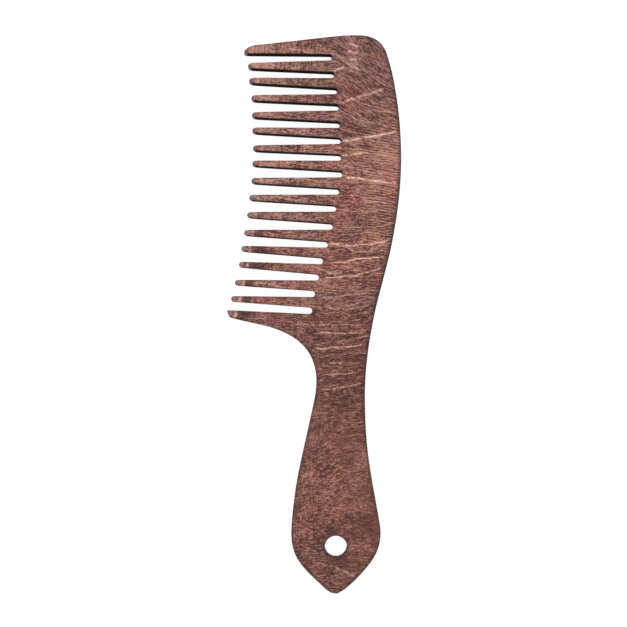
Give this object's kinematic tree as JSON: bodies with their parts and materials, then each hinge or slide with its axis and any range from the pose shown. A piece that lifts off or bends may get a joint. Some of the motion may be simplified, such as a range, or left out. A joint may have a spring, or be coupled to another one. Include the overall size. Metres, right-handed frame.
{
  "type": "wide-tooth comb",
  "caption": "Flat wooden wide-tooth comb with tapered, fanned teeth, a curved spine and a waisted handle that ends in a rounded point with a hang hole.",
  "frame": {"origin": "centre of the hang hole, on the back face", "axes": "+X towards the spine, +Y along the handle to the head, +Z out of the face that the picture shows"},
  "size_m": [0.0627, 0.2011, 0.006],
  "materials": {
    "face_veneer": "reddish-brown stain, satin, with fine grain along the teeth",
    "crossband_veneer": "cut edge scorched dark brown, end grain on the long edges",
    "core_veneer": "cut edge scorched dark brown, long grain on the teeth"
  },
  "bodies": {
    "root": {"front_face_veneer": "face_veneer", "front_crossband": "crossband_veneer", "core_veneer": "core_veneer", "back_crossband": "crossband_veneer", "back_face_veneer": "face_veneer"}
  },
  "joints": []
}
